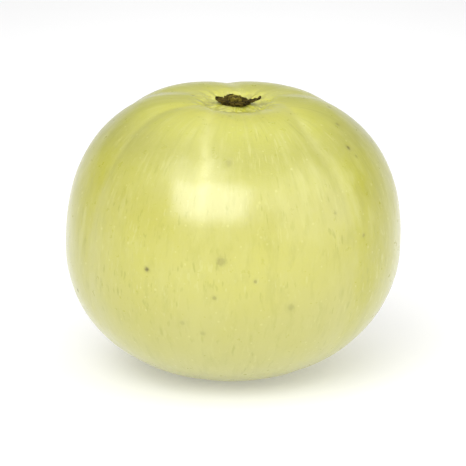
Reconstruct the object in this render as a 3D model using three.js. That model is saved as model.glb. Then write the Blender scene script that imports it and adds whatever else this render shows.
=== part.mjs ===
// Indian gooseberry (amla): one whole fruit and the dried end of its stalk.
// Millimetres, +Z up through the stalk end, origin under the middle of the fruit on the plane
// that it rests on. The front is -Y, and azimuths are turned from the front towards +X.
import * as THREE from "three";
import { mergeVertices } from "three/addons/utils/BufferGeometryUtils.js";

// The fruit's outline, a superellipse above its widest ring and another below it.
// An exponent of 2 gives an ellipse, and more gives fuller, squarer shoulders.
const FRUIT_WIDTH = 40;
const CROWN_RISE = 18.9;
const CROWN_FULLNESS = 2.41;
const BASE_DROP = 16.35;
const BASE_FULLNESS = 2.13;

// The flat spot at the blossom end, the axis's slight lean towards +X for each mm of height, and
// how far the crown is tipped over the same way for each mm across it.
const FOOT_RADIUS = 5;
const AXIS_LEAN = 0.02;
const CROWN_TIP = 0.034;

// Six shallow furrows run from the basin round the stalk to the blossom end, unevenly spaced.
// Nearing the axis each swirls a little, and a hooked one turns back close to it. On the crown
// each is the narrow bed of a broad valley between two lobes, and the back one is the deepest.
const FURROWS = [
  { azimuthDeg: -59, swirlDeg: -24, hookDeg: 30, valleyDepth: 0.12 },
  { azimuthDeg: -12, swirlDeg: -30, hookDeg: 0, valleyDepth: 0.2 },
  { azimuthDeg: 46.5, swirlDeg: -40, hookDeg: 200, valleyDepth: 0.12 },
  { azimuthDeg: 118, swirlDeg: -12, hookDeg: 40, valleyDepth: 0.12 },
  { azimuthDeg: 193, swirlDeg: -25, hookDeg: 0, valleyDepth: 0.28 },
  { azimuthDeg: 246, swirlDeg: 14, hookDeg: -40, valleyDepth: 0.14 },
];
const FURROW_SPREAD_DEG = 9;
const FURROW_DEPTH = 0.18;
const FURROW_SHARE_AT_FOOT = 0.3;
const VALLEY_SPREAD_DEG = 24;
const VALLEY_START_SHARE = 0.6;

// The basin round the stalk, and the stub that sits in a socket at its bottom.
const BASIN_DEPTH = 1.75;
const BASIN_RADIUS = 12;
const STUB_RADIUS = 2.8;
const STUB_ROOT_DEPTH = 0.7;
const STUB_RIM_RISE = 0.35;
const STUB_NUB_RISE = 0.75;
const STUB_NUB_RADIUS = 1.1;
const STUB_LOBES = 6;
const STUB_RAGGEDNESS = 0.14;
const GAP = 0.3;

// Mesh fineness.
const FRUIT_SEGMENTS = 72;
const RINGS_PER_HALF = 17;
const STUB_SEGMENTS = 30;

const fruitRadius = FRUIT_WIDTH / 2;
const socketRadius = STUB_RADIUS + GAP;

// The angle along a superellipse at which its ring has the given radius.
function angleAtRadius(radius, fullness) {
  return Math.asin((radius / fruitRadius) ** (fullness / 2));
}

// A point of a superellipse, from its pole at angle 0 to the widest ring at 90 degrees.
function outlinePoint(angle, fullness, rise) {
  const radius = fruitRadius * Math.sin(angle) ** (2 / fullness);
  const height = rise * Math.max(Math.cos(angle), 0) ** (2 / fullness);
  return new THREE.Vector2(radius, height);
}

// How far the basin round the stalk sinks the crown at the given radius.
function basinSink(radius) {
  const inside = Math.max(1 - (radius / BASIN_RADIUS) ** 2, 0);
  return BASIN_DEPTH * inside ** 2;
}

const footAngle = angleAtRadius(FOOT_RADIUS, BASE_FULLNESS);
const socketAngle = angleAtRadius(socketRadius, CROWN_FULLNESS);
const widestHeight = outlinePoint(footAngle, BASE_FULLNESS, BASE_DROP).y;
const basinFloor = widestHeight + CROWN_RISE - BASIN_DEPTH;
const socketFloor = basinFloor - STUB_ROOT_DEPTH - GAP;

// The half outline from the middle of the foot, round the widest ring, to the socket's floor.
function fruitProfile() {
  const profile = [new THREE.Vector2(0, 0)];
  for (let ring = 0; ring < RINGS_PER_HALF; ring += 1) {
    const angle = THREE.MathUtils.lerp(footAngle, Math.PI / 2, ring / RINGS_PER_HALF);
    const point = outlinePoint(angle, BASE_FULLNESS, BASE_DROP);
    profile.push(new THREE.Vector2(point.x, widestHeight - point.y));
  }
  for (let ring = 0; ring <= RINGS_PER_HALF; ring += 1) {
    const angle = THREE.MathUtils.lerp(Math.PI / 2, socketAngle, ring / RINGS_PER_HALF);
    const point = outlinePoint(angle, CROWN_FULLNESS, CROWN_RISE);
    profile.push(new THREE.Vector2(point.x, widestHeight + point.y - basinSink(point.x)));
  }
  profile.push(new THREE.Vector2(socketRadius, socketFloor));
  profile.push(new THREE.Vector2(0, socketFloor));
  return profile;
}

// How far a place is turned from the bed of a furrow, in degrees.
function turnedFrom(furrow, azimuthDeg, radius) {
  const inward = 1 - radius / fruitRadius;
  const bedDeg = furrow.azimuthDeg + furrow.swirlDeg * inward ** 2 + furrow.hookDeg * inward ** 4;
  return THREE.MathUtils.euclideanModulo(azimuthDeg - bedDeg + 180, 360) - 180;
}

// The furrows are deepest on the shoulders, shallow low down, and end at the socket and the foot.
function flankShare(radius, height) {
  const innerRadius = height > widestHeight ? socketRadius : FOOT_RADIUS;
  const clearOfEnds = THREE.MathUtils.smoothstep(radius, innerRadius, fruitRadius * 0.6);
  const raised = THREE.MathUtils.smoothstep(height, 0, basinFloor);
  return clearOfEnds * THREE.MathUtils.lerp(FURROW_SHARE_AT_FOOT, 1, raised);
}

// How far the furrows and their valleys sink the skin at a place.
function furrowSink(azimuthDeg, radius, height) {
  let groove = 0;
  let valley = 0;
  FURROWS.forEach((furrow) => {
    const turned = turnedFrom(furrow, azimuthDeg, radius);
    groove = Math.max(groove, Math.exp(-((turned / FURROW_SPREAD_DEG) ** 2)));
    valley += furrow.valleyDepth * Math.exp(-((turned / VALLEY_SPREAD_DEG) ** 2));
  });
  const onCrown = THREE.MathUtils.smoothstep(height, widestHeight * VALLEY_START_SHARE, basinFloor);
  return (FURROW_DEPTH * groove + valley * onCrown) * flankShare(radius, height);
}

// Moves every vertex of a geometry by a function that changes the point it is given.
function reshape(geometry, move) {
  const position = geometry.attributes.position;
  const normal = geometry.attributes.normal;
  const point = new THREE.Vector3();
  const outward = new THREE.Vector3();
  for (let vertex = 0; vertex < position.count; vertex += 1) {
    point.fromBufferAttribute(position, vertex);
    outward.fromBufferAttribute(normal, vertex);
    move(point, outward);
    position.setXYZ(vertex, point.x, point.y, point.z);
  }
}

// Keeps only the positions of a turned shape, so that its seam closes.
function finished(geometry) {
  geometry.deleteAttribute("normal");
  geometry.deleteAttribute("uv");
  const closed = mergeVertices(geometry);
  closed.computeVertexNormals();
  return closed;
}

// Leans the axis towards +X, and tips the crown over the same way.
function settled(point) {
  const raised = Math.max(point.z - widestHeight, 0) / CROWN_RISE;
  point.x += AXIS_LEAN * (point.z - widestHeight);
  point.z -= CROWN_TIP * point.x * raised;
}

function fruitGeometry() {
  const geometry = new THREE.LatheGeometry(fruitProfile(), FRUIT_SEGMENTS);
  geometry.rotateX(Math.PI / 2);
  reshape(geometry, (point, outward) => {
    const radius = Math.hypot(point.x, point.y);
    const azimuthDeg = THREE.MathUtils.radToDeg(Math.atan2(point.x, -point.y));
    point.addScaledVector(outward, -furrowSink(azimuthDeg, radius, point.z));
    settled(point);
  });
  return finished(geometry);
}

// The half outline of the stub, from its root in the socket to the broken nub of the stalk.
function stubProfile() {
  const root = basinFloor - STUB_ROOT_DEPTH;
  const rim = basinFloor + STUB_RIM_RISE;
  const nub = basinFloor + STUB_NUB_RISE;
  return [
    new THREE.Vector2(0, root),
    new THREE.Vector2(STUB_RADIUS * 0.85, root),
    new THREE.Vector2(STUB_RADIUS, basinFloor),
    new THREE.Vector2(STUB_RADIUS * 0.9, rim),
    new THREE.Vector2(STUB_RADIUS * 0.62, rim - 0.2),
    new THREE.Vector2(STUB_NUB_RADIUS, nub),
    new THREE.Vector2(0, nub - 0.1),
  ];
}

function stubGeometry() {
  const geometry = new THREE.LatheGeometry(stubProfile(), STUB_SEGMENTS);
  geometry.rotateX(Math.PI / 2);
  reshape(geometry, (point) => {
    const azimuth = Math.atan2(point.x, -point.y);
    const drawnIn = STUB_RAGGEDNESS * (0.5 - 0.5 * Math.cos(STUB_LOBES * azimuth));
    point.x *= 1 - drawnIn;
    point.y *= 1 - drawnIn;
    settled(point);
  });
  return finished(geometry);
}

function part(name, geometry, color, roughness) {
  const mesh = new THREE.Mesh(geometry, new THREE.MeshStandardMaterial({ color, roughness, metalness: 0 }));
  mesh.name = name;
  return mesh;
}

const gooseberry = new THREE.Group();
gooseberry.add(part("fruit", fruitGeometry(), 0xd8d672, 0.35));
gooseberry.add(part("stalk_stub", stubGeometry(), 0x3d2f1a, 0.9));

export default gooseberry;
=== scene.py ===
"""The looks of one Indian gooseberry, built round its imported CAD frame.

Pieces are placed in metres in the row frame: +Z runs up through the stalk end and -Y is the front.
The pieces' own sizes are in millimetres, and azimuths turn from the front towards +X. The berry's
width, height and place come from the box of its CAD node.
"""

import logging
import math
from dataclasses import dataclass
from enum import Enum
from typing import Any

import bpy
import numpy as np
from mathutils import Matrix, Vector


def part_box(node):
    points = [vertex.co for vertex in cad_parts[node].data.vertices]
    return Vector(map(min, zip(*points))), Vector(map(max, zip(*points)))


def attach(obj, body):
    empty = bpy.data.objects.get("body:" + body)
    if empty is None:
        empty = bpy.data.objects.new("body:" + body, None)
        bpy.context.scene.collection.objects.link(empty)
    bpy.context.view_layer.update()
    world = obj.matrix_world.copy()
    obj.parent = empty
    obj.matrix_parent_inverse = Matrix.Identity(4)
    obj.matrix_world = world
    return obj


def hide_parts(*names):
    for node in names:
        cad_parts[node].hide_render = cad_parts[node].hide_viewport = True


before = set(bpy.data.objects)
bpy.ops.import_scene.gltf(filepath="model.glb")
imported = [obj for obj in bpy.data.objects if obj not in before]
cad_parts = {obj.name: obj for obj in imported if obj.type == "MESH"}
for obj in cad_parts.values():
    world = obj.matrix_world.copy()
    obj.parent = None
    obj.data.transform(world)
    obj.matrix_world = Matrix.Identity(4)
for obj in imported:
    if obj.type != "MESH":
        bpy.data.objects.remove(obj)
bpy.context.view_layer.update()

MM = 0.001
LOG = logging.getLogger("gooseberry")


class Body(Enum):
    """The CAD bodies that pieces ride on."""

    ROOT = "root"


class Slot(Enum):
    """The record's material slots."""

    SKIN = "skin"
    DRY_STALK = "dry_stalk"


class Side(Enum):
    """Which half of the berry a place is on."""

    CROWN = 1
    BASE = -1


def colour(code: str) -> tuple[float, float, float, float]:
    """Turns a display colour into the linear colour that shaders use.

    Args:
        code: Six hexadecimal digits, two each for red, green and blue.

    Returns:
        The linear red, green and blue, and an alpha of 1.
    """
    parts = [int(code[i : i + 2], 16) / 255 for i in (0, 2, 4)]
    linear = [c / 12.92 if c <= 0.04045 else ((c + 0.055) / 1.055) ** 2.4 for c in parts]
    return (linear[0], linear[1], linear[2], 1.0)


def grey(level: float) -> tuple[float, float, float, float]:
    """A grey of a linear level from 0 to 1, with an alpha of 1."""
    return (level, level, level, 1.0)


def smoothstep(value: np.ndarray, low: float, high: float) -> np.ndarray:
    """Rises smoothly from 0 at low to 1 at high.

    Args:
        value: The numbers to map.
        low: Where the rise starts.
        high: Where it ends.

    Returns:
        The mapped numbers, from 0 to 1.
    """
    share = np.clip((value - low) / (high - low), 0.0, 1.0)
    return share * share * (3.0 - 2.0 * share)


def bell(value: np.ndarray) -> np.ndarray:
    """A smooth hump of height 1 at 0 and about a third at 1."""
    return np.exp(-(value**2))


def ripples(points: np.ndarray, wavelength: float, seed: int, waves: int = 14) -> np.ndarray:
    """Smooth, repeatable unevenness, the sum of plane waves in random directions.

    Args:
        points: Positions, one row each.
        wavelength: The typical distance from crest to crest.
        seed: Which pattern to draw.
        waves: How many waves are added.

    Returns:
        One number for each point, mostly between -1 and 1.
    """
    rng = np.random.default_rng(seed)
    total = np.zeros(len(points))
    for _ in range(waves):
        direction = rng.normal(size=3)
        direction /= np.linalg.norm(direction)
        stretch = rng.uniform(0.75, 1.35)
        phase = rng.uniform(0.0, 2.0 * math.pi)
        total += np.sin(points @ direction * (2.0 * math.pi * stretch / wavelength) + phase)
    return total / math.sqrt(waves)


def hills(points: np.ndarray, wavelength: float, seed: int, waves: int = 14) -> np.ndarray:
    """The same unevenness, mostly between 0 and 1."""
    return 0.5 + 0.5 * ripples(points, wavelength, seed, waves)


def mesh_piece(name: str, points: np.ndarray, faces: list[tuple[int, ...]]) -> bpy.types.Object:
    """Makes a smooth-shaded mesh object.

    Args:
        name: The piece's name.
        points: Vertex positions in metres, one row each.
        faces: Vertex numbers of each face.

    Returns:
        The object, linked to the scene.
    """
    mesh = bpy.data.meshes.new(name)
    mesh.from_pydata(points.tolist(), [], faces)
    mesh.polygons.foreach_set("use_smooth", [True] * len(mesh.polygons))
    mesh.update()
    piece = bpy.data.objects.new(name, mesh)
    bpy.context.scene.collection.objects.link(piece)
    return piece


def ring_points(
    radii: np.ndarray, heights: np.ndarray, segments: int
) -> tuple[np.ndarray, np.ndarray]:
    """Points of full rings round the upright axis, each ring from its front point towards +X.

    Args:
        radii: The rings' radii.
        heights: Their heights.
        segments: How many points each ring has.

    Returns:
        The points' azimuths in radians, and the points, one row each.
    """
    azimuth = np.tile(np.arange(segments) * (2.0 * math.pi / segments), len(radii))
    radius = np.repeat(radii, segments)
    height = np.repeat(heights, segments)
    return azimuth, np.stack([np.sin(azimuth) * radius, -np.cos(azimuth) * radius, height], axis=1)


def band_faces(rings: int, segments: int) -> list[tuple[int, ...]]:
    """Quads between full rings that rise one above another, facing out.

    Args:
        rings: How many rings there are, from the one that starts at vertex 1.
        segments: How many points each ring has.

    Returns:
        The quads.
    """
    faces: list[tuple[int, ...]] = []
    for ring in range(rings - 1):
        low = 1 + ring * segments
        high = low + segments
        for segment in range(segments):
            after = (segment + 1) % segments
            faces.append((low + segment, low + after, high + after, high + segment))
    return faces


def turned_faces(rings: int, segments: int) -> list[tuple[int, ...]]:
    """Faces of a closed turned body: a low pole, full rings, and a high pole, in that order.

    Args:
        rings: How many full rings lie between the poles.
        segments: How many points each ring has.

    Returns:
        Triangles at the poles and quads between the rings, all facing out.
    """
    faces: list[tuple[int, ...]] = []
    last = 1 + (rings - 1) * segments
    top = last + segments
    for segment in range(segments):
        after = (segment + 1) % segments
        faces.append((0, 1 + after, 1 + segment))
        faces.append((last + segment, last + after, top))
    return faces + band_faces(rings, segments)


class Sock:
    """A value in a node tree, with operators that add Math nodes."""

    def __init__(self, graph: "Graph", socket: bpy.types.NodeSocket) -> None:
        """Wraps one output socket of a graph's tree."""
        self.graph = graph
        self.socket = socket

    def math(self, operation: str, *values: Any) -> "Sock":
        """Adds one Math node.

        Args:
            operation: The node's operation.
            values: Its inputs in order, sockets or numbers.

        Returns:
            The node's result.
        """
        return self.graph.add("ShaderNodeMath", {"operation": operation}, dict(enumerate(values)))

    def __add__(self, other: Any) -> "Sock":
        """The sum."""
        return self.math("ADD", self, other)

    __radd__ = __add__

    def __mul__(self, other: Any) -> "Sock":
        """The product."""
        return self.math("MULTIPLY", self, other)

    __rmul__ = __mul__

    def __sub__(self, other: Any) -> "Sock":
        """The difference."""
        return self.math("SUBTRACT", self, other)

    def __rsub__(self, other: Any) -> "Sock":
        """The difference, this value taken away."""
        return self.math("SUBTRACT", other, self)

    def __truediv__(self, other: Any) -> "Sock":
        """The quotient."""
        return self.math("DIVIDE", self, other)

    def __neg__(self) -> "Sock":
        """The opposite value."""
        return self * -1.0

    def __pow__(self, other: Any) -> "Sock":
        """The power."""
        return self.math("POWER", self, other)

    def bell(self) -> "Sock":
        """A smooth hump of height 1 at 0 and about a third at 1."""
        return self.math("EXPONENT", -(self * self))

    def root(self) -> "Sock":
        """The square root."""
        return self.math("SQRT", self)

    def above(self, limit: Any) -> "Sock":
        """1 where the value is above the limit, else 0."""
        return self.math("GREATER_THAN", self, limit)

    def most(self, other: Any) -> "Sock":
        """The larger of two values."""
        return self.math("MAXIMUM", self, other)

    def smooth(self, low: float, high: float) -> "Sock":
        """Rises smoothly from 0 at low to 1 at high, or falls where high is below low.

        Args:
            low: The value that gives 0.
            high: The value that gives 1.

        Returns:
            The mapped value.
        """
        settings = {"interpolation_type": "SMOOTHSTEP"}
        if low < high:
            return self.graph.add("ShaderNodeMapRange", settings, {0: self, 1: low, 2: high})
        ends = {0: self, 1: high, 2: low, 3: 1.0, 4: 0.0}
        return self.graph.add("ShaderNodeMapRange", settings, ends)


class Graph:
    """A node tree, and the node that its finished values go into."""

    def __init__(self, owner: bpy.types.Material | bpy.types.World, end: str) -> None:
        """Takes a material's or a world's own tree.

        Args:
            owner: The new material or world.
            end: The name of the node that shades it.
        """
        owner.use_nodes = True
        self.owner = owner
        self.tree = owner.node_tree
        self.end = self.tree.nodes[end]

    def add(self, kind: str, settings: dict, values: dict, output: Any = 0) -> Sock:
        """Adds a node of any type.

        Args:
            kind: The node's type.
            settings: Its settings by name, which are set first.
            values: Numbers, tuples or sockets for its inputs, by number or name.
            output: The number or name of the output to hand back.

        Returns:
            That output.
        """
        node = self.tree.nodes.new(kind)
        for name, setting in settings.items():
            setattr(node, name, setting)
        for key, value in values.items():
            self.feed(node.inputs[key], value)
        return Sock(self, node.outputs[output])

    def feed(self, socket: bpy.types.NodeSocket, value: Any) -> None:
        """Links a socket to a value in the tree, or sets it to a plain one.

        Args:
            socket: The input socket.
            value: The value for it.
        """
        if isinstance(value, Sock):
            self.tree.links.new(value.socket, socket)
        else:
            socket.default_value = value

    def dress(self, **values: Any) -> Any:
        """Feeds the end node.

        Args:
            values: Its sockets' values, with _ for each space in a socket's name.

        Returns:
            The finished material or world.
        """
        for name, value in values.items():
            self.feed(self.end.inputs[name.replace("_", " ")], value)
        return self.owner

    def place(self) -> Sock:
        """The position in the row frame, in millimetres."""
        metres = self.add("ShaderNodeTexCoord", {}, {}, "Object")
        return self.scaled(metres, 1.0 / MM)

    def scaled(self, vector: Sock, factor: float) -> Sock:
        """A vector times a number."""
        return self.add("ShaderNodeVectorMath", {"operation": "SCALE"}, {0: vector, 3: factor})

    def axes(self, vector: Sock) -> tuple[Sock, Sock, Sock]:
        """The three parts of a vector.

        Args:
            vector: The vector to take apart.

        Returns:
            Its X, Y and Z.
        """
        x = self.add("ShaderNodeSeparateXYZ", {}, {0: vector}, "X")
        outputs = x.socket.node.outputs
        return x, Sock(self, outputs["Y"]), Sock(self, outputs["Z"])

    def joined(self, x: Any, y: Any, z: Any) -> Sock:
        """A vector made of three values."""
        return self.add("ShaderNodeCombineXYZ", {}, {0: x, 1: y, 2: z})

    def distance(self, vector: Sock, point: tuple[float, float, float]) -> Sock:
        """How far a place is from a fixed point."""
        settings = {"operation": "DISTANCE"}
        return self.add("ShaderNodeVectorMath", settings, {0: vector, 1: point}, "Value")

    def noise(self, vector: Sock, scale: float, detail: float = 2.0, rough: float = 0.5) -> Sock:
        """Soft random unevenness, about 0.5 on average.

        Args:
            vector: Where to read it.
            scale: How many features lie in one unit.
            detail: How many finer layers are added.
            rough: How strong the finer layers are.

        Returns:
            The noise, from 0 to 1.
        """
        values = {"Vector": vector, "Scale": scale, "Detail": detail, "Roughness": rough}
        return self.add("ShaderNodeTexNoise", {}, values, "Fac")

    def dots(self, vector: Sock, scale: float, radius: float, share: float) -> Sock:
        """Round dots scattered one to a cell, in some of the cells.

        Args:
            vector: Where to read them.
            scale: How many cells lie in one unit.
            radius: The dots' radius in units.
            share: The share of the cells that hold a dot.

        Returns:
            1 inside a dot, falling to 0 at its edge.
        """
        near = self.add("ShaderNodeTexVoronoi", {}, {"Vector": vector, "Scale": scale}, "Distance")
        lot = Sock(self, near.socket.node.outputs["Color"])
        red = self.add("ShaderNodeSeparateColor", {}, {0: lot}, "Red")
        green = Sock(self, red.socket.node.outputs["Green"])
        size = (green * 0.7 + 0.5) * (radius * scale)
        return (near / size).smooth(1.0, 0.35) * red.above(1.0 - share)

    def mix(self, share: Any, first: Any, second: Any) -> Sock:
        """Blends two colours.

        Args:
            share: How much of the second colour shows.
            first: The colour at a share of 0.
            second: The colour at a share of 1.

        Returns:
            The blend.
        """
        settings = {"data_type": "RGBA"}
        return self.add("ShaderNodeMix", settings, {0: share, 6: first, 7: second}, 2)

    def bumped(self, height: Sock, depth: float) -> Sock:
        """A surface normal roughened by a height.

        Args:
            height: The relief, from 0 to 1.
            depth: How deep a relief of 1 is, in metres.

        Returns:
            The normal.
        """
        return self.add("ShaderNodeBump", {}, {"Strength": 1.0, "Distance": depth, "Height": height})


def painted(name: str) -> Graph:
    """The graph of a new material's Principled surface."""
    return Graph(bpy.data.materials.new(name), "Principled BSDF")


@dataclass(frozen=True)
class Furrow:
    """One of the shallow furrows that run from the stalk to the blossom end.

    Attributes:
        azimuth: Degrees from the front towards +X, at the widest ring.
        swirl: How far it turns on its way in to the axis, in degrees.
        hook: How far it turns close to the axis only, in degrees.
        vein: How clearly the pale vein in its bed shows, from 0 to 1.
        tone: How deep the green of the lobe after it is, from 0 to 1; partly the lobe's own green and
            partly painted shade, most on the right flank.
        valley: How deep the broad valley that it lies in is on the crown, in millimetres.
    """

    azimuth: float
    swirl: float
    hook: float
    vein: float
    tone: float
    valley: float

    def bed(self, inward: Any) -> Any:
        """Follows its bed from the widest ring in to the axis.

        Args:
            inward: 0 at the widest ring and 1 at the axis, as numbers or as a value in a node tree.

        Returns:
            The bed's azimuth there, in radians.
        """
        square = inward * inward
        hooked = square * square * math.radians(self.hook)
        return hooked + square * math.radians(self.swirl) + math.radians(self.azimuth)


# Each lobe's green is partly its own and partly painted shade: the deepest, after the furrow at 46.5
# degrees, darkens the right flank.
FURROWS = (
    Furrow(azimuth=-167.0, swirl=-25.0, hook=0.0, vein=0.85, tone=0.35, valley=0.28),
    Furrow(azimuth=-114.0, swirl=14.0, hook=-40.0, vein=0.6, tone=0.5, valley=0.14),
    Furrow(azimuth=-59.0, swirl=-24.0, hook=30.0, vein=0.15, tone=0.14, valley=0.12),
    Furrow(azimuth=-12.0, swirl=-30.0, hook=0.0, vein=1.0, tone=0.0, valley=0.2),
    Furrow(azimuth=46.5, swirl=-40.0, hook=200.0, vein=0.5, tone=0.65, valley=0.12),
    Furrow(azimuth=118.0, swirl=-12.0, hook=40.0, vein=0.6, tone=0.35, valley=0.12),
)


@dataclass(frozen=True)
class Mark:
    """One small blemish of the skin, in a place of its own.

    Attributes:
        azimuth: Degrees from the front towards +X.
        rise: Height above the widest ring, as a share of the rise to the crown or the base.
        radius: Its size in millimetres.
        depth: How dark it is, from 0 to 1.
        halo: The width of the soft ring round it, in radii.
        sunk: How deep it is pressed into the skin, in millimetres.
    """

    azimuth: float
    rise: float
    radius: float
    depth: float
    halo: float = 2.0
    sunk: float = 0.03


MARKS = (
    Mark(azimuth=-30.5, rise=0.085, radius=0.4, depth=0.9, halo=1.6, sunk=0.1),
    Mark(azimuth=-4.2, rise=0.179, radius=0.85, depth=0.3, halo=2.2, sunk=0.04),
    Mark(azimuth=7.5, rise=0.053, radius=0.32, depth=0.4),
    Mark(azimuth=-6.2, rise=-0.064, radius=0.34, depth=0.32),
    Mark(azimuth=20.5, rise=-0.159, radius=0.6, depth=0.22),
    Mark(azimuth=-10.5, rise=-0.357, radius=0.5, depth=0.2),
    Mark(azimuth=-17.7, rise=-0.28, radius=0.45, depth=0.16),
    Mark(azimuth=62.2, rise=0.74, radius=0.44, depth=0.65, halo=1.8, sunk=0.06),
    Mark(azimuth=-2.8, rise=0.746, radius=0.6, depth=0.18),
    Mark(azimuth=51.5, rise=0.235, radius=0.34, depth=0.35),
    Mark(azimuth=39.2, rise=0.422, radius=0.3, depth=0.28),
    Mark(azimuth=72.8, rise=0.842, radius=0.45, depth=0.4),
    Mark(azimuth=63.2, rise=0.687, radius=0.3, depth=0.3),
    Mark(azimuth=90.2, rise=0.675, radius=0.35, depth=0.4),
    Mark(azimuth=93.5, rise=0.889, radius=0.4, depth=0.5),
    Mark(azimuth=107.0, rise=0.83, radius=0.4, depth=0.45),
    Mark(azimuth=-110.5, rise=0.982, radius=0.3, depth=0.55, sunk=0.06),
    Mark(azimuth=-96.0, rise=0.988, radius=0.28, depth=0.45),
    Mark(azimuth=-62.0, rise=0.985, radius=0.32, depth=0.3),
    Mark(azimuth=128.0, rise=0.35, radius=0.4, depth=0.7, sunk=0.06),
    Mark(azimuth=145.0, rise=-0.2, radius=0.3, depth=0.55),
    Mark(azimuth=176.0, rise=0.1, radius=0.9, depth=0.3, halo=2.2, sunk=0.04),
    Mark(azimuth=203.0, rise=-0.42, radius=0.38, depth=0.8, halo=1.6, sunk=0.08),
    Mark(azimuth=228.0, rise=0.28, radius=0.3, depth=0.5),
    Mark(azimuth=251.0, rise=-0.1, radius=0.34, depth=0.45),
    Mark(azimuth=96.0, rise=-0.5, radius=0.32, depth=0.5),
)


@dataclass(frozen=True)
class BerryShape:
    """The berry's outline, furrows and basin, as the CAD solid has them, in millimetres."""

    width: float
    height: float
    crown_rise: float = 18.9
    crown_fullness: float = 2.41
    base_drop: float = 16.35
    base_fullness: float = 2.13
    foot_radius: float = 5.0
    axis_lean: float = 0.02
    crown_tip: float = 0.034
    furrow_depth: float = 0.18
    furrow_spread: float = math.radians(9.0)
    furrow_share_at_foot: float = 0.3
    valley_spread: float = math.radians(24.0)
    valley_start_share: float = 0.6
    basin_depth: float = 1.75
    basin_radius: float = 12.0
    inset: float = 0.04

    @property
    def radius(self) -> float:
        """Half the width."""
        return self.width / 2.0

    @property
    def foot_angle(self) -> float:
        """Where the lower outline reaches the foot, as an angle from its pole."""
        return math.asin((self.foot_radius / self.radius) ** (self.base_fullness / 2.0))

    @property
    def widest_height(self) -> float:
        """How high the widest ring is above the surface that the berry stands on."""
        return self.base_drop * math.cos(self.foot_angle) ** (2.0 / self.base_fullness)

    @property
    def basin_floor(self) -> float:
        """How high the bottom of the stalk's basin is."""
        return self.widest_height + self.crown_rise - self.basin_depth

    def settled(self, points: np.ndarray) -> np.ndarray:
        """Leans points of the upright berry towards +X, and tips the crown over the same way.

        Args:
            points: Positions in millimetres, one row each.

        Returns:
            Where they lie on the leaning berry.
        """
        moved = points.copy()
        above = points[:, 2] - self.widest_height
        moved[:, 0] += self.axis_lean * above
        moved[:, 2] -= self.crown_tip * moved[:, 0] * np.maximum(above, 0.0) / self.crown_rise
        return moved

    def outline(self, rings: int, finer: float) -> tuple[np.ndarray, np.ndarray]:
        """The half outline from the foot's edge over the widest ring to near the basin's middle.

        Args:
            rings: How many points it has.
            finer: How much closer together they are in the basin than on the flanks.

        Returns:
            The points' radii and heights.
        """
        samples = 4000
        low = np.linspace(self.foot_angle, math.pi / 2.0, samples, endpoint=False)
        high = np.linspace(math.pi / 2.0, 0.0, samples)
        low_radii = self.radius * np.sin(low) ** (2.0 / self.base_fullness)
        low_heights = -self.base_drop * np.cos(low) ** (2.0 / self.base_fullness)
        high_radii = self.radius * np.sin(high) ** (2.0 / self.crown_fullness)
        rise = self.crown_rise * np.clip(np.cos(high), 0.0, None) ** (2.0 / self.crown_fullness)
        inside = np.clip(1.0 - (high_radii / self.basin_radius) ** 2, 0.0, None)
        radii = np.concatenate([low_radii, high_radii])
        heights = np.concatenate([low_heights, rise - self.basin_depth * inside**2])
        heights += self.widest_height
        near_basin = (heights > self.widest_height) * bell(radii / self.basin_radius)
        weight = 1.0 + (finer - 1.0) * near_basin
        steps = np.hypot(np.diff(radii), np.diff(heights)) * weight[1:]
        along = np.concatenate([[0.0], np.cumsum(steps)])
        stops = np.linspace(0.0, along[-1], rings, endpoint=False)
        return np.interp(stops, along, radii), np.interp(stops, along, heights)

    def furrow_turns(self, azimuth: np.ndarray, radius: np.ndarray) -> np.ndarray:
        """The angles from each place to the beds of all the furrows.

        Args:
            azimuth: The places' azimuths in radians.
            radius: Their distances from the axis.

        Returns:
            The angles in radians, one row for each furrow.
        """
        inward = 1.0 - radius / self.radius
        turns = np.array([(azimuth - furrow.bed(inward)) / (2.0 * math.pi) for furrow in FURROWS])
        return (turns - np.round(turns)) * 2.0 * math.pi

    def furrow_share(self, radius: np.ndarray, height: np.ndarray) -> np.ndarray:
        """How deep the furrows are at each place, deepest on the shoulders.

        Args:
            radius: The places' distances from the axis.
            height: Their heights.

        Returns:
            The shares of the full depth, from 0 to 1.
        """
        clear = smoothstep(radius, self.foot_radius * 0.6, self.radius * 0.6)
        raised = smoothstep(height, 0.0, self.basin_floor)
        return clear * (self.furrow_share_at_foot + (1.0 - self.furrow_share_at_foot) * raised)

    def furrow_sink(self, azimuth: np.ndarray, radius: np.ndarray, height: np.ndarray) -> np.ndarray:
        """How far the furrows and their valleys sink the skin.

        Args:
            azimuth: The places' azimuths in radians.
            radius: Their distances from the axis.
            height: Their heights.

        Returns:
            The depths in millimetres.
        """
        turns = self.furrow_turns(azimuth, radius)
        depths = np.array([furrow.valley for furrow in FURROWS])[:, None]
        valley = np.sum(depths * bell(turns / self.valley_spread), axis=0)
        groove = self.furrow_depth * np.max(bell(turns / self.furrow_spread), axis=0)
        on_crown = smoothstep(height, self.widest_height * self.valley_start_share, self.basin_floor)
        return (groove + valley * on_crown) * self.furrow_share(radius, height)

    def spot(self, mark: Mark) -> np.ndarray:
        """Finds the point of the upright berry's furrowed skin where a mark lies.

        Args:
            mark: The mark.

        Returns:
            The point in millimetres, as one row.
        """
        side = Side.CROWN if mark.rise > 0.0 else Side.BASE
        fullness = self.crown_fullness if side is Side.CROWN else self.base_fullness
        span = self.crown_rise if side is Side.CROWN else self.base_drop
        share = (1.0 - abs(mark.rise) ** fullness) ** (1.0 / fullness)
        radius = self.radius * share
        inside = max(1.0 - (radius / self.basin_radius) ** 2, 0.0)
        height = self.widest_height + mark.rise * span - self.basin_depth * inside**2
        turn = math.radians(mark.azimuth)
        out = share ** (fullness - 1.0) / self.radius
        up = side.value * abs(mark.rise) ** (fullness - 1.0) / span
        sink = self.furrow_sink(np.array([turn]), np.array([radius]), np.array([height]))[0] + self.inset
        radius -= sink * out / math.hypot(out, up)
        height -= sink * up / math.hypot(out, up)
        return np.array([[radius * math.sin(turn), -radius * math.cos(turn), height]])


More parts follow.
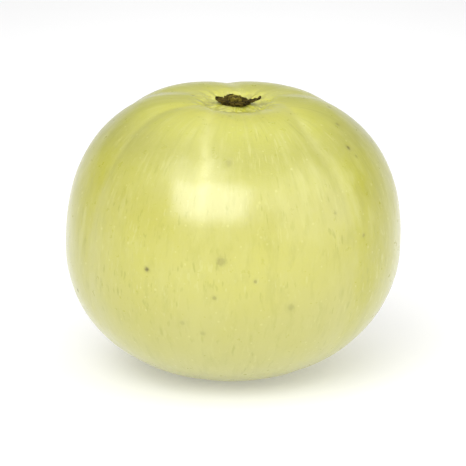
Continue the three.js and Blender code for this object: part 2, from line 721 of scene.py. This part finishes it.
class SkinPaint:
    """The skin's node tree, with the masks that many of its colours share.

    Attributes:
        graph: The tree.
        skin: The colour so far.
        place: The position on the berry as it stands, in millimetres.
        radius: The distance from the upright berry's axis, in millimetres.
        inward: 0 at the widest ring and 1 at the axis.
        azimuth: The azimuth in radians.
        height: The height as a share of the berry's.
        backward: -1 at the front and 1 at the back.
        around: A place on which every pattern is drawn out lengthwise.
        mottle: Fine unevenness.
        crowded: Where the fine details are crowded.
        threads: Lengthwise threads.
        fray: The unevenness of the blemishes' edges.
    """

    def __init__(self, shape: BerryShape, ground: str, streak_squash: float, fray: float) -> None:
        """Takes the berry's lean and its tipped crown back out of the position.

        Args:
            shape: The berry's shape.
            ground: The colour that all the others are laid on.
            streak_squash: How little a millimetre of height counts where streaks are drawn.
            fray: How uneven the blemishes' edges are.
        """
        self.graph = painted("berry_skin")
        self.skin: Any = colour(ground)
        self.place = self.graph.place()
        x, y, z = self.graph.axes(self.place)
        raised = (z - shape.widest_height).most(0.0) / shape.crown_rise
        z = z + x * raised * shape.crown_tip
        x = x - (z - shape.widest_height) * shape.axis_lean
        self.radius = (x * x + y * y).root().most(0.01)
        self.inward = 1.0 - self.radius / shape.radius
        self.azimuth = x.math("ARCTAN2", x, -y)
        self.height = z / shape.height
        self.backward = y / self.radius
        self.around = self.graph.joined(x / self.radius, self.backward, z * streak_squash)
        self.mottle = self.noise(scale=0.8, detail=4.0, rough=0.65)
        self.crowded = self.noise(scale=0.2, detail=1.0).smooth(0.4, 0.62)
        self.threads = self.streaks(scale=13.0, detail=3.0).smooth(0.44, 0.72)
        self.fray = (self.noise(scale=2.2, detail=3.0) - 0.5) * fray

    def noise(self, scale: float, detail: float = 2.0, rough: float = 0.5) -> Sock:
        """Unevenness that is alike in all directions, with the scale in features to a millimetre."""
        return self.graph.noise(self.place, scale, detail, rough)

    def streaks(self, scale: float, detail: float = 2.0) -> Sock:
        """Unevenness that is drawn out lengthwise."""
        return self.graph.noise(self.around, scale, detail, rough=0.6)

    def lay(self, share: Any, code: str) -> None:
        """Lays a colour over the ones before it, where the share is above 0."""
        self.skin = self.graph.mix(share, self.skin, colour(code))


@dataclass(frozen=True)
class BerrySkin:
    """The finish of the berry: waxy, faintly translucent, with pale veins and small blemishes.

    Widths, depths, radii and the spread of the painted highlight on the basin's front lip are in
    millimetres. Heights and the spreads of the cheek and of the painted shade near the crown are shares
    of the berry's height. A pair of heights or radii says where a colour starts to show, and where it
    shows fully.
    """

    shape: BerryShape
    lime: str = "b2af3d"
    sage: str = "b6b365"
    # The deep colour is partly the lobes' own green and partly painted shade on the flanks.
    deep: str = "a3a129"
    crown: str = "c1c336"
    # Painted light: the colour of light bouncing up from the floor onto the lower half.
    painted_floor_bounce: str = "bcbb69"
    cheek: str = "c3c056"
    # Painted shade: the shade colour dims a band round the top of the flanks.
    shade: str = "a4a24e"
    gold: str = "cac84c"
    # Painted highlight: the rim colour lights the front of the basin's lip.
    rim: str = "d6d348"
    vein: str = "d3d18a"
    thread: str = "c5c479"
    dot: str = "d0cf85"
    moss: str = "9c9b40"
    fleck: str = "5c5420"
    bruise: str = "969048"
    russet: str = "7e7236"
    scar: str = "4a3a1c"
    streak_squash: float = 0.016
    vein_width: float = 0.4
    vein_widening: float = 0.35
    vein_wander: float = 0.08
    glow_width: float = 1.8
    crown_heights: tuple[float, float] = (0.72, 0.98)
    floor_bounce_heights: tuple[float, float] = (0.45, 0.05)
    cheek_height: float = 0.56
    cheek_spread: float = 0.16
    shoulder_shade_height: float = 0.9
    shoulder_shade_spread: float = 0.07
    rim_radius: float = 7.0
    lip_highlight_spread: float = 2.6
    gold_radii: tuple[float, float] = (8.0, 4.0)
    russet_radii: tuple[float, float] = (5.5, 3.0)
    scar_radii: tuple[float, float] = (1.5, 0.5)
    fray: float = 0.9
    roughness: float = 0.22
    relief_depth: float = 0.03
    scatter_depth: float = 2.2

    def furrow_masks(self, paint: SkinPaint) -> tuple[Sock, Sock, Sock]:
        """Finds the furrows and the lobes between them.

        Args:
            paint: The skin's tree.

        Returns:
            The pale veins in the furrows' beds, the soft glow beside them, and the lobes' green, which
            is partly painted shade.
        """
        height = paint.height
        wander = (paint.noise(scale=0.12) - 0.5) * self.vein_wander
        strength = paint.noise(scale=0.16).smooth(0.25, 0.62)
        fade = (height.smooth(0.6, 0.86) * 0.9 + 0.1) * (strength * 0.7 + 0.3)
        frayed = paint.noise(scale=0.9, detail=3.0).smooth(0.3, 0.6) * 0.5 + 0.5
        edge = height.smooth(0.75, 0.3) * 0.14 + 0.045
        width = height * self.vein_widening + self.vein_width
        veins: Sock | float = 0.0
        glow: Sock | float = 0.0
        before = FURROWS[-1].tone
        tone: Sock | float = before
        for furrow in FURROWS:
            turn = paint.azimuth - furrow.bed(paint.inward) + wander
            gap = turn.math("PINGPONG", turn, math.pi) * paint.radius
            veins = ((gap / width).bell() * furrow.vein).most(veins)
            glow = ((gap / self.glow_width).bell() * furrow.vein).most(glow)
            tone = (turn / edge).smooth(-1.0, 1.0) * (furrow.tone - before) + tone
            before = furrow.tone
        return veins * fade * frayed, glow * (fade * 0.85 + 0.15), tone

    def lay_ground(self, paint: SkinPaint, tone: Sock) -> None:
        """Lays the broad colours, which change with the lobes and with the height, with painted shade on
        the flanks and near the crown and a painted bounce of light on the lower half.

        Args:
            paint: The skin's tree.
            tone: How green the lobe is, partly its own green and partly painted shade.
        """
        height = paint.height
        patches = paint.noise(scale=0.11, detail=3.0, rough=0.55).smooth(0.34, 0.66)
        # Partly painted shade: the lime and deep colours darken the lobes on the flanks, most on the
        # right, as well as greening them.
        paint.lay(tone * 1.2 + (patches - 0.5) * 0.5, self.lime)
        paint.lay(tone.smooth(0.3, 1.0) * 0.8, self.deep)
        paint.lay(height.smooth(*self.crown_heights) * 0.6, self.crown)
        # Painted light: the paler, greyer colour lightens the lower half as if light bounced up from the
        # floor.
        paint.lay(height.smooth(*self.floor_bounce_heights) * 0.7, self.painted_floor_bounce)
        middle = ((height - self.cheek_height) / self.cheek_spread).bell()
        paint.lay(middle * paint.backward.smooth(-0.3, -0.9) * 0.42, self.cheek)
        # Painted shade: a greyer, darker band round the top of the flanks, where the front light falls
        # strongest.
        painted_shoulder_shade = ((height - self.shoulder_shade_height) / self.shoulder_shade_spread).bell()
        paint.lay(painted_shoulder_shade * 0.7, self.shade)
        paint.lay(paint.mottle.smooth(0.35, 0.7) * 0.25, self.sage)

    def lay_streaks(self, paint: SkinPaint) -> None:
        """Lays what runs lengthwise: dull clouds, broken pale threads and fine fibres.

        Args:
            paint: The skin's tree.
        """
        paint.lay(paint.streaks(scale=16.0, detail=3.0).smooth(0.5, 0.7) * 0.22, self.moss)
        broken = paint.threads * paint.noise(scale=0.3).smooth(0.35, 0.6)
        paint.lay(broken * (paint.height.smooth(0.25, 0.7) * 0.25 + 0.1), self.thread)
        fibres = paint.streaks(scale=36.0)
        paint.lay(fibres.smooth(0.58, 0.7) * (paint.crowded * 0.3 + 0.12), self.thread)
        paint.lay(fibres.smooth(0.41, 0.3) * (paint.crowded * 0.35 + 0.12), self.moss)

    def lay_dots(self, paint: SkinPaint) -> tuple[Sock, Sock]:
        """Lays round pale dots, long dull ticks, long pale dashes and a few dark flecks.

        Args:
            paint: The skin's tree.

        Returns:
            The pale dots and the dark flecks.
        """
        graph = paint.graph
        pale = graph.dots(paint.place, scale=0.85, radius=0.2, share=0.85)
        paint.lay(pale * (paint.mottle * 0.3 + 0.2), self.dot)
        arc = graph.scaled(paint.around, self.shape.radius)
        ticks = graph.dots(arc, scale=0.62, radius=0.24, share=0.5)
        paint.lay(ticks * (paint.crowded * 0.5 + 0.2), self.moss)
        aside = graph.add("ShaderNodeVectorMath", {"operation": "ADD"}, {0: arc, 1: (9.0, 3.0, 5.0)})
        dashes = graph.dots(aside, scale=0.5, radius=0.26, share=0.4)
        paint.lay(dashes * 0.45, self.thread)
        flecks = graph.dots(paint.place, scale=0.17, radius=0.3, share=0.35)
        paint.lay(flecks * 0.6, self.fleck)
        return pale, flecks

    def lay_marks(self, paint: SkinPaint, flecks: Sock) -> Sock:
        """Lays each mark as a dark core in a soft, bruised ring.

        Args:
            paint: The skin's tree.
            flecks: The flecks that are there already.

        Returns:
            The flecks and the cores, where the skin is sunk and dull.
        """
        dull = flecks
        for mark in MARKS:
            middle = tuple(self.shape.settled(self.shape.spot(mark))[0])
            away = paint.graph.distance(paint.place, middle) / mark.radius + paint.fray
            core = away.smooth(1.0, 0.3) * mark.depth
            paint.lay(away.smooth(mark.halo, 0.6) * (mark.depth * 0.4), self.bruise)
            paint.lay(core, self.fleck)
            dull = core.most(dull)
        return dull

    def lay_ends(self, paint: SkinPaint) -> Sock:
        """Colours the basin, paints a highlight on its front rim, and colours the skin close to the
        stalk and the blossom end.

        Args:
            paint: The skin's tree.

        Returns:
            The scar at the blossom end.
        """
        radius, mottle = paint.radius, paint.mottle
        upper = paint.height.above(0.5)
        paint.lay(upper * radius.smooth(*self.gold_radii) * 0.25, self.gold)
        # Painted highlight: the pale rim colour lights the front of the basin's lip, as if the lip
        # caught the light.
        ring = upper * ((radius - self.rim_radius) / self.lip_highlight_spread).bell()
        painted_lip_highlight = ring * paint.backward.smooth(0.3, -0.6)
        paint.lay(painted_lip_highlight * (mottle.smooth(0.3, 0.6) * 0.25 + 0.3), self.rim)
        near_stalk = upper * radius.smooth(*self.russet_radii)
        paint.lay(near_stalk * mottle.smooth(0.5, 0.66) * 0.55, self.russet)
        grains = paint.graph.dots(paint.place, scale=1.7, radius=0.2, share=0.8)
        paint.lay(near_stalk * grains * 0.8, self.dot)
        scar = (1.0 - upper) * (radius + paint.fray * 0.5).smooth(*self.scar_radii)
        paint.lay(scar * 0.85, self.scar)
        return scar

    def build(self) -> bpy.types.Material:
        """Makes the material.

        Returns:
            The material.
        """
        paint = SkinPaint(self.shape, self.sage, self.streak_squash, self.fray)
        veins, glow, tone = self.furrow_masks(paint)
        self.lay_ground(paint, tone)
        self.lay_streaks(paint)
        paint.lay(glow * 0.28, self.thread)
        paint.lay(veins * 0.5, self.vein)
        pale, flecks = self.lay_dots(paint)
        dull = self.lay_marks(paint, flecks)
        scar = self.lay_ends(paint)
        pebbles = paint.noise(scale=2.6, detail=3.0, rough=0.55)
        relief = pebbles * 0.6 + paint.threads * 0.2 + pale * 0.3 - dull * 0.8
        return paint.graph.dress(
            Base_Color=paint.skin,
            Roughness=self.roughness + paint.mottle * 0.16 + dull * 0.35 + scar * 0.4,
            IOR=1.45,
            Subsurface_Weight=0.35,
            Subsurface_Radius=(1.0, 0.9, 0.35),
            Subsurface_Scale=self.scatter_depth * MM,
            Coat_Weight=0.75,
            Coat_Roughness=0.22,
            Normal=paint.graph.bumped(relief, self.relief_depth * MM),
        )


@dataclass(frozen=True)
class DryStalk:
    """The finish of the dried stalk end: matt, cracked and dark brown, paler where it is worn."""

    name: str = "dry_sepals"
    bark: str = "4c4010"
    crack: str = "1e1803"
    worn: str = "7f7130"
    wear: float = 0.5
    relief_depth: float = 0.12

    def build(self) -> bpy.types.Material:
        """Makes the material.

        Returns:
            The material.
        """
        graph = painted(self.name)
        place = graph.place()
        crust = graph.noise(place, scale=1.6, detail=4.0, rough=0.65)
        fibres = graph.noise(place, scale=5.0, detail=3.0, rough=0.7)
        shade = graph.mix(crust.smooth(0.4, 0.62), colour(self.crack), colour(self.bark))
        shade = graph.mix(fibres.smooth(0.5, 0.75) * self.wear, shade, colour(self.worn))
        relief = crust * 0.6 + fibres * 0.4
        return graph.dress(
            Base_Color=shade,
            Roughness=0.75 + fibres * 0.2,
            Specular_IOR_Level=0.12,
            Normal=graph.bumped(relief, self.relief_depth * MM),
        )


@dataclass
class Berry:
    """The fruit itself: one closed skin from the foot to the bottom of the stalk's basin.

    Depths, radii, widths, spreads and the sizes of bumps are in millimetres.
    """

    shape: BerryShape
    middle: Vector
    segments: int = 420
    rings: int = 205
    basin_finer: float = 2.2
    foot_rings: int = 8
    swell_depth: float = 0.1
    swell_size: float = 26.0
    dent_depth: float = 0.02
    dent_size: float = 5.0
    crease_depth: float = 0.05
    crease_width: float = 0.9
    pleats: float = 17.0
    pleat_depth: float = 0.1
    pleat_radius: float = 3.4
    knuckle_depth: float = 0.16
    knuckle_size: float = 1.6
    knuckle_radius: float = 3.3
    grain_depth: float = 0.04
    grain_size: float = 0.7
    grain_radius: float = 3.6
    grain_spread: float = 1.8
    wrinkle_spread: float = 1.5
    moat_depth: float = 0.3
    moat_radius: float = 3.2
    moat_width: float = 0.9
    tip_depth: float = 0.35
    tip_radius: float = 1.3

    def profile(self) -> tuple[np.ndarray, np.ndarray]:
        """The radii and heights of all full rings, from the foot's middle up.

        Returns:
            The radii and the heights.
        """
        radii, heights = self.shape.outline(self.rings, self.basin_finer)
        flat = np.linspace(0.0, self.shape.foot_radius, self.foot_rings, endpoint=False)[1:]
        return np.concatenate([flat, radii]), np.concatenate([np.zeros(len(flat)), heights])

    def relief(self, points: np.ndarray, azimuth: np.ndarray, radius: np.ndarray) -> np.ndarray:
        """How far each point is pressed in along the surface normal.

        Args:
            points: The smooth body's points.
            azimuth: Their azimuths.
            radius: Their distances from the axis.

        Returns:
            The depths in millimetres.
        """
        shape = self.shape
        height = points[:, 2]
        crown = height > shape.widest_height
        offset = np.min(np.abs(shape.furrow_turns(azimuth, radius)), axis=0)
        share = shape.furrow_share(radius, height)
        depth = shape.inset + shape.furrow_sink(azimuth, radius, height)
        depth += self.crease_depth * bell(offset * radius / self.crease_width) * share
        flank = np.where(crown, 1.0, smoothstep(radius, shape.foot_radius, shape.foot_radius * 1.8))
        depth += flank * self.swell_depth * hills(points, self.swell_size, seed=3)
        depth += flank * self.dent_depth * hills(points, self.dent_size, seed=8, waves=30)
        # A slower wave draws the pleats together in some places.
        pleats = np.sin(azimuth * self.pleats + 2.0 * np.sin(azimuth * 5.0)) * 0.5 + 0.5
        by_pleats = bell((radius - self.pleat_radius) / self.wrinkle_spread) * crown
        depth += self.pleat_depth * pleats * by_pleats
        knuckles = hills(points, self.knuckle_size, seed=12, waves=30)
        by_knuckles = bell((radius - self.knuckle_radius) / self.wrinkle_spread) * crown
        depth += self.knuckle_depth * knuckles * by_knuckles
        depth += self.moat_depth * bell((radius - self.moat_radius) / self.moat_width) * crown
        grains = hills(points, self.grain_size, seed=17, waves=40)
        by_grains = bell((radius - self.grain_radius) / self.grain_spread) * crown
        return depth + self.grain_depth * grains * by_grains

    def pits(self, points: np.ndarray) -> np.ndarray:
        """How far the marks are pressed into the skin.

        Args:
            points: The skin's points on the upright berry.

        Returns:
            The depth at each point, in millimetres.
        """
        depth = np.zeros(len(points))
        for mark in MARKS:
            away = np.linalg.norm(points - self.shape.spot(mark), axis=1)
            depth += mark.sunk * bell(away / mark.radius)
        return depth

    def surface(self) -> tuple[np.ndarray, int]:
        """All the points of the skin, from the middle of the foot to the bottom of the basin.

        Returns:
            The points in millimetres, and how many full rings they have.
        """
        radii, heights = self.profile()
        azimuth, points = ring_points(radii, heights, self.segments)
        _, normals = ring_points(np.gradient(heights), -np.gradient(radii), self.segments)
        normals /= np.linalg.norm(normals, axis=1, keepdims=True)
        radius = np.repeat(radii, self.segments)
        on_foot = np.repeat(np.arange(len(radii)) < self.foot_rings, self.segments)
        depth = np.where(on_foot, 0.0, self.relief(points, azimuth, radius))
        points -= normals * depth[:, None]
        points -= normals * self.pits(points)[:, None]
        points[:, 2] += np.where(on_foot, self.tip_depth * bell(radius / self.tip_radius), 0.0)
        foot = np.array([[0.0, 0.0, self.tip_depth]])
        basin = np.array([[0.0, 0.0, self.shape.basin_floor]])
        points = self.shape.settled(np.concatenate([foot, points, basin]))
        points[:, 2] = np.maximum(points[:, 2], 0.0)
        return points, len(radii)

    def build(self, finish: BerrySkin) -> bpy.types.Object:
        """Makes the skin, puts it on its body and dresses it.

        Args:
            finish: The skin's finish.

        Returns:
            The piece.
        """
        surface, rings = self.surface()
        points = surface * MM + np.array(self.middle)
        piece = mesh_piece("fruit_skin", points, turned_faces(rings, self.segments))
        piece.data.materials.append(finish.build())
        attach(piece, Body.ROOT.value)
        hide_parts("fruit")
        LOG.info("%s: %d points", piece.name, len(points))
        return piece


@dataclass(frozen=True)
class Sepal:
    """One dried sepal.

    Attributes:
        azimuth: Degrees from the front towards +X.
        length: How far it reaches, in millimetres.
        width: Its greatest width in millimetres.
        lift: How far its tip curls up, in millimetres.
    """

    azimuth: float
    length: float
    width: float
    lift: float


SEPALS = (
    Sepal(azimuth=-88.0, length=1.6, width=1.9, lift=0.08),
    Sepal(azimuth=-32.0, length=1.0, width=1.5, lift=-0.05),
    Sepal(azimuth=24.0, length=1.35, width=1.9, lift=-0.05),
    Sepal(azimuth=80.0, length=2.15, width=1.5, lift=0.42),
    Sepal(azimuth=146.0, length=0.75, width=1.4, lift=-0.1),
    Sepal(azimuth=212.0, length=0.9, width=1.9, lift=0.1),
)


@dataclass
class StalkStub:
    """The dried end of the stalk: a crusted disc, six shrivelled sepals and a broken nub.

    All sizes are in millimetres, apart from the share of the basin's slope that a sepal follows.
    """

    shape: BerryShape
    middle: Vector
    radius: float = 1.75
    nub_off: tuple[float, float, float] = (-0.1, 0.45, 0.0)
    lump_size: float = 0.9
    crumb_size: float = 0.55
    segments: int = 120
    rings_between: int = 4
    sepal_root: float = 0.85
    sepal_thickness: float = 0.14
    sepal_edge: float = 0.03
    sepal_rise: float = 0.13
    sepal_cupping: float = 0.12
    sepal_buckle: float = 0.07
    sepal_buckle_size: float = 0.55
    sepal_bend: float = 0.09
    sepal_bend_size: float = 0.6
    sepal_slope_share: float = 0.8
    sepal_steps: int = 22
    sepal_sides: int = 13

    def turned(
        self,
        name: str,
        across: tuple[float, ...],
        up: tuple[float, ...],
        ragged: float,
        seed: int,
        off: tuple[float, float, float] = (0.0, 0.0, 0.0),
    ) -> bpy.types.Object:
        """Makes a closed, uneven turned body.

        Args:
            name: The piece's name.
            across: The radii of its rings in millimetres, from the lowest.
            up: Their heights, with the heights of the two poles before and after them.
            ragged: How uneven the body is, in millimetres.
            seed: Which pattern the unevenness has.
            off: Where its axis stands from the middle, in millimetres.

        Returns:
            The piece.
        """
        rings = self.rings_between * len(across)
        spread = np.linspace(0.0, len(across) - 1.0, rings)
        radii = np.interp(spread, np.arange(len(across)), across)
        heights = np.interp(spread, np.arange(len(across)), up[1:-1])
        _, points = ring_points(radii, heights, self.segments)
        points = np.concatenate([[[0.0, 0.0, up[0]]], points, [[0.0, 0.0, up[-1]]]])
        out = np.hypot(points[:, 0], points[:, 1]) / max(across)
        swell = 1.0 + ragged * 0.7 * ripples(points, self.lump_size, seed, waves=24)
        points[:, :2] *= np.where(out > 0.3, swell, 1.0)[:, None]
        crumbs = ripples(points, self.crumb_size, seed + 1, waves=30)
        points[:, 2] += ragged * crumbs * np.minimum(1.0, out + 0.5)
        return self.placed(name, points + np.array(off), turned_faces(rings, self.segments))

    def crust(self) -> bpy.types.Object:
        """Makes the crusted disc that the sepals grow from.

        Returns:
            The piece.
        """
        across = (self.radius * 0.8, self.radius * 0.97, self.radius, self.radius * 0.93, 1.5, 0.9, 0.4)
        up = (-0.5, -0.5, -0.2, 0.05, 0.14, 0.06, 0.02, 0.06, 0.05)
        return self.turned("calyx_disc", across, up, ragged=0.09, seed=21)

    def nub(self) -> bpy.types.Object:
        """Makes the broken nub of the stalk, a little off the middle.

        Returns:
            The piece.
        """
        across = (0.85, 0.85, 0.82, 0.76, 0.66, 0.45, 0.2)
        up = (-0.3, -0.3, 0.05, 0.34, 0.48, 0.52, 0.45, 0.4, 0.46)
        return self.turned("stalk_nub", across, up, ragged=0.08, seed=31, off=self.nub_off)

    def sepal(self, number: int, sepal: Sepal) -> bpy.types.Object:
        """Makes one shrivelled sepal that lies on the basin's floor.

        Args:
            number: Which of the sepals it is.
            sepal: Its sizes.

        Returns:
            The piece.
        """
        ends = np.linspace(0.0, 1.0, self.sepal_steps)
        edges = np.linspace(-1.0, 1.0, self.sepal_sides)
        along, across = (grid.ravel() for grid in np.meshgrid(ends, edges, indexing="ij"))
        half = sepal.width / 2.0 * np.sqrt(np.clip(1.0 - along**4, 0.0, None)) * (0.6 + 0.4 * along)
        side = across * (half + self.sepal_edge)
        out = self.sepal_root + along * sepal.length
        slope = self.shape.basin_depth * (1.0 - (1.0 - (out / self.shape.basin_radius) ** 2) ** 2)
        rise = self.sepal_rise + slope * self.sepal_slope_share + sepal.lift * along**2
        flat = np.stack([side, -out, rise + self.sepal_cupping * across**2 * along], axis=1)
        level = flat * np.array([1.0, 1.0, 0.0])
        buckles = ripples(level, self.sepal_buckle_size, seed=40 + number, waves=20)
        flat[:, 2] += self.sepal_buckle * buckles
        bends = ripples(flat, self.sepal_bend_size, seed=60 + number, waves=12)
        flat[:, 0] += self.sepal_bend * bends * along
        under = flat - np.array([0.0, 0.0, self.sepal_thickness])
        turn = math.radians(sepal.azimuth)
        cos, sin = math.cos(turn), math.sin(turn)
        spin = np.array([[cos, sin, 0.0], [-sin, cos, 0.0], [0.0, 0.0, 1.0]])
        points = np.concatenate([flat, under]) @ spin
        faces = self.plate_faces(self.sepal_steps, self.sepal_sides)
        return self.placed(f"sepal_{number + 1}", points, faces)

    @staticmethod
    def plate_faces(steps: int, sides: int) -> list[tuple[int, ...]]:
        """Faces of a thin closed plate, its top grid first and its under grid after it.

        Args:
            steps: Points along the plate.
            sides: Points across it.

        Returns:
            The quads of the top, the underside and the four edges.
        """
        count = steps * sides
        faces: list[tuple[int, ...]] = []
        for i in range(steps - 1):
            for j in range(sides - 1):
                a = i * sides + j
                quad = (a, a + sides, a + sides + 1, a + 1)
                faces.append(quad)
                faces.append(tuple(count + k for k in reversed(quad)))
        rim = [i * sides for i in range(steps)]
        rim += [(steps - 1) * sides + j for j in range(1, sides)]
        rim += [i * sides + sides - 1 for i in range(steps - 2, -1, -1)]
        rim += [j for j in range(sides - 2, 0, -1)]
        for first, second in zip(rim, rim[1:] + rim[:1]):
            faces.append((second, first, count + first, count + second))
        return faces

    def placed(self, name: str, points: np.ndarray, faces: list[tuple[int, ...]]) -> bpy.types.Object:
        """Sets points that are in millimetres round the basin's middle into the row frame."""
        upright = points + np.array([0.0, 0.0, self.shape.basin_floor])
        return mesh_piece(name, self.shape.settled(upright) * MM + np.array(self.middle), faces)

    def build(self, sepal_finish: DryStalk, nub_finish: DryStalk) -> list[bpy.types.Object]:
        """Makes all the dry pieces, puts them on their body and dresses them.

        Args:
            sepal_finish: The finish of the sepals and of the disc under them.
            nub_finish: The finish of the nub.

        Returns:
            The pieces.
        """
        pieces = [self.nub(), self.crust()]
        pieces += [self.sepal(number, sepal) for number, sepal in enumerate(SEPALS)]
        materials = [nub_finish.build()] + [sepal_finish.build()] * (len(pieces) - 1)
        for piece, material in zip(pieces, materials):
            piece.data.materials.append(material)
            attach(piece, Body.ROOT.value)
            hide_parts("stalk_stub")
            LOG.info("%s: %d points", piece.name, len(piece.data.vertices))
        return pieces


@dataclass(frozen=True)
class Softbox:
    """One soft light.

    Attributes:
        name: The light's name.
        azimuth: Degrees from the front towards +X.
        elevation: Degrees above the berry's middle.
        width: Its width in metres.
        height: Its height in metres.
        power: Its power in watts.
    """

    name: str
    azimuth: float
    elevation: float
    width: float
    height: float
    power: float


@dataclass
class Studio:
    """A pale table that glows near the berry, a soft ceiling, the softboxes and the camera.

    Lengths are in metres, apart from the glow's reach and the sensor, which are in millimetres.
    """

    target: Vector
    view_elevation: float = math.radians(17.0)
    view_distance: float = 0.8
    frame_width: float = 0.0555
    sensor: float = 36.0
    floor_radius: float = 0.9
    rim_radius: float = 1.6
    rim_height: float = 0.35
    softboxes: tuple[Softbox, ...] = (
        Softbox(name="front_softbox", azimuth=-17.0, elevation=38.0, width=0.94, height=0.6, power=8.55),
        Softbox(name="left_softbox", azimuth=-50.0, elevation=59.0, width=0.5, height=0.5, power=1.6),
        Softbox(name="right_softbox", azimuth=65.0, elevation=29.0, width=1.3, height=1.1, power=5.35),
    )
    softbox_distance: float = 1.1
    horizon_light: float = 0.14
    zenith_light: float = 1.24
    table_light: float = 0.3
    table_albedo: float = 0.7
    glow_reach: tuple[float, float] = (80.0, 230.0)
    side_fade: float = 2.0
    far_glow: float = 0.1
    flat_rings: int = 8
    rim_rings: int = 17
    floor_segments: int = 96
    rim_curve: float = 2.5

    def from_front(self, azimuth: float, elevation: float, distance: float) -> Vector:
        """Finds a point round the target.

        Args:
            azimuth: Its direction in radians from the front towards +X.
            elevation: Its direction in radians above the level.
            distance: Its distance from the target in metres.

        Returns:
            The point.
        """
        level = math.cos(elevation) * distance
        offset = (math.sin(azimuth) * level, -math.cos(azimuth) * level, math.sin(elevation) * distance)
        return self.target + Vector(offset)

    def aimed(self, name: str, data: Any, place: Vector) -> bpy.types.Object:
        """Adds a camera or a light that looks at the target.

        Args:
            name: Its name.
            data: The camera's or the light's data.
            place: Where it stands.

        Returns:
            The object.
        """
        thing = bpy.data.objects.new(name, data)
        thing.location = place
        thing.rotation_euler = (self.target - place).to_track_quat("-Z", "Y").to_euler()
        bpy.context.scene.collection.objects.link(thing)
        return thing

    def camera(self) -> None:
        """Adds the camera, level with the front and a little above the berry."""
        data = bpy.data.cameras.new("camera")
        data.sensor_width = self.sensor
        data.lens = self.sensor * self.view_distance / self.frame_width
        place = self.from_front(0.0, self.view_elevation, self.view_distance)
        bpy.context.scene.camera = self.aimed("camera", data, place)
        LOG.info("camera: a lens of %.0f mm", data.lens)

    def paper(self) -> bpy.types.Material:
        """Makes the floor's finish, whose painted glow, light that no lamp gives, fades away from the
        berry, sooner to its sides.

        Returns:
            The material.
        """
        graph = painted("white_paper_painted_glow")
        x, y, _ = graph.axes(graph.place())
        near, far = self.glow_reach
        across = x * self.side_fade
        # Painted light: the floor glows by itself, brightest round the berry.
        painted_glow_pool = (across * across + y * y).root().smooth(far, near)
        return graph.dress(
            Base_Color=grey(self.table_albedo),
            Roughness=0.8,
            Specular_IOR_Level=0.1,
            Emission_Color=graph.mix(painted_glow_pool, grey(self.far_glow), grey(1.0)),
            Emission_Strength=self.table_light,
        )

    def floor(self) -> None:
        """Adds the floor, a disc whose edge sweeps up all round."""
        flat = np.linspace(0.0, self.floor_radius, self.flat_rings)[1:]
        rise = np.linspace(0.0, 1.0, self.rim_rings)[1:]
        rim = self.floor_radius + (self.rim_radius - self.floor_radius) * rise
        radii = np.concatenate([flat, rim])
        heights = np.concatenate([np.zeros(len(flat)), self.rim_height * rise**self.rim_curve])
        segments = self.floor_segments
        _, rings = ring_points(radii, heights, segments)
        faces: list[tuple[int, ...]] = [(0, 1 + s, 1 + (s + 1) % segments) for s in range(segments)]
        faces += [(a, d, c, b) for a, b, c, d in band_faces(len(radii), segments)]
        sweep = mesh_piece("floor", np.concatenate([[[0.0, 0.0, 0.0]], rings]), faces)
        sweep.data.materials.append(self.paper())

    def sky(self) -> None:
        """Lights everything softly, most from above."""
        world = bpy.data.worlds.new("soft_ceiling")
        bpy.context.scene.world = world
        graph = Graph(world, "Background")
        up = graph.axes(graph.add("ShaderNodeTexCoord", {}, {}, "Generated"))[2]
        overhead = up.most(0.0) ** 2.0 * (self.zenith_light - self.horizon_light)
        graph.dress(Color=grey(1.0), Strength=self.horizon_light + overhead)

    def softbox(self, box: Softbox) -> None:
        """Adds one softbox, aimed at the berry.

        Args:
            box: The softbox.
        """
        data = bpy.data.lights.new(box.name, "AREA")
        data.shape = "RECTANGLE"
        data.size = box.width
        data.size_y = box.height
        data.energy = box.power
        turn, lift = math.radians(box.azimuth), math.radians(box.elevation)
        self.aimed(box.name, data, self.from_front(turn, lift, self.softbox_distance))

    def build(self) -> None:
        """Sets everything up round the berry."""
        bpy.context.scene.view_settings.view_transform = "Standard"
        self.camera()
        self.floor()
        self.sky()
        for box in self.softboxes:
            self.softbox(box)


def main() -> None:
    """Builds the pieces in order."""
    logging.basicConfig(level=logging.INFO, format="%(name)s: %(message)s")
    low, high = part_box("fruit")
    shape = BerryShape(width=(high.x - low.x) / MM, height=(high.z - low.z) / MM)
    middle = Vector(((low.x + high.x) / 2.0, (low.y + high.y) / 2.0, low.z))
    studio = Studio(target=(low + high) / 2.0)
    studio.build()
    Berry(shape=shape, middle=middle).build(BerrySkin(shape=shape))
    worn_wood = DryStalk(name="broken_stalk", bark="70641f", crack="30290a", worn="a0944a", wear=0.8)
    StalkStub(shape=shape, middle=middle).build(DryStalk(), worn_wood)


if __name__ == "__main__":
    main()
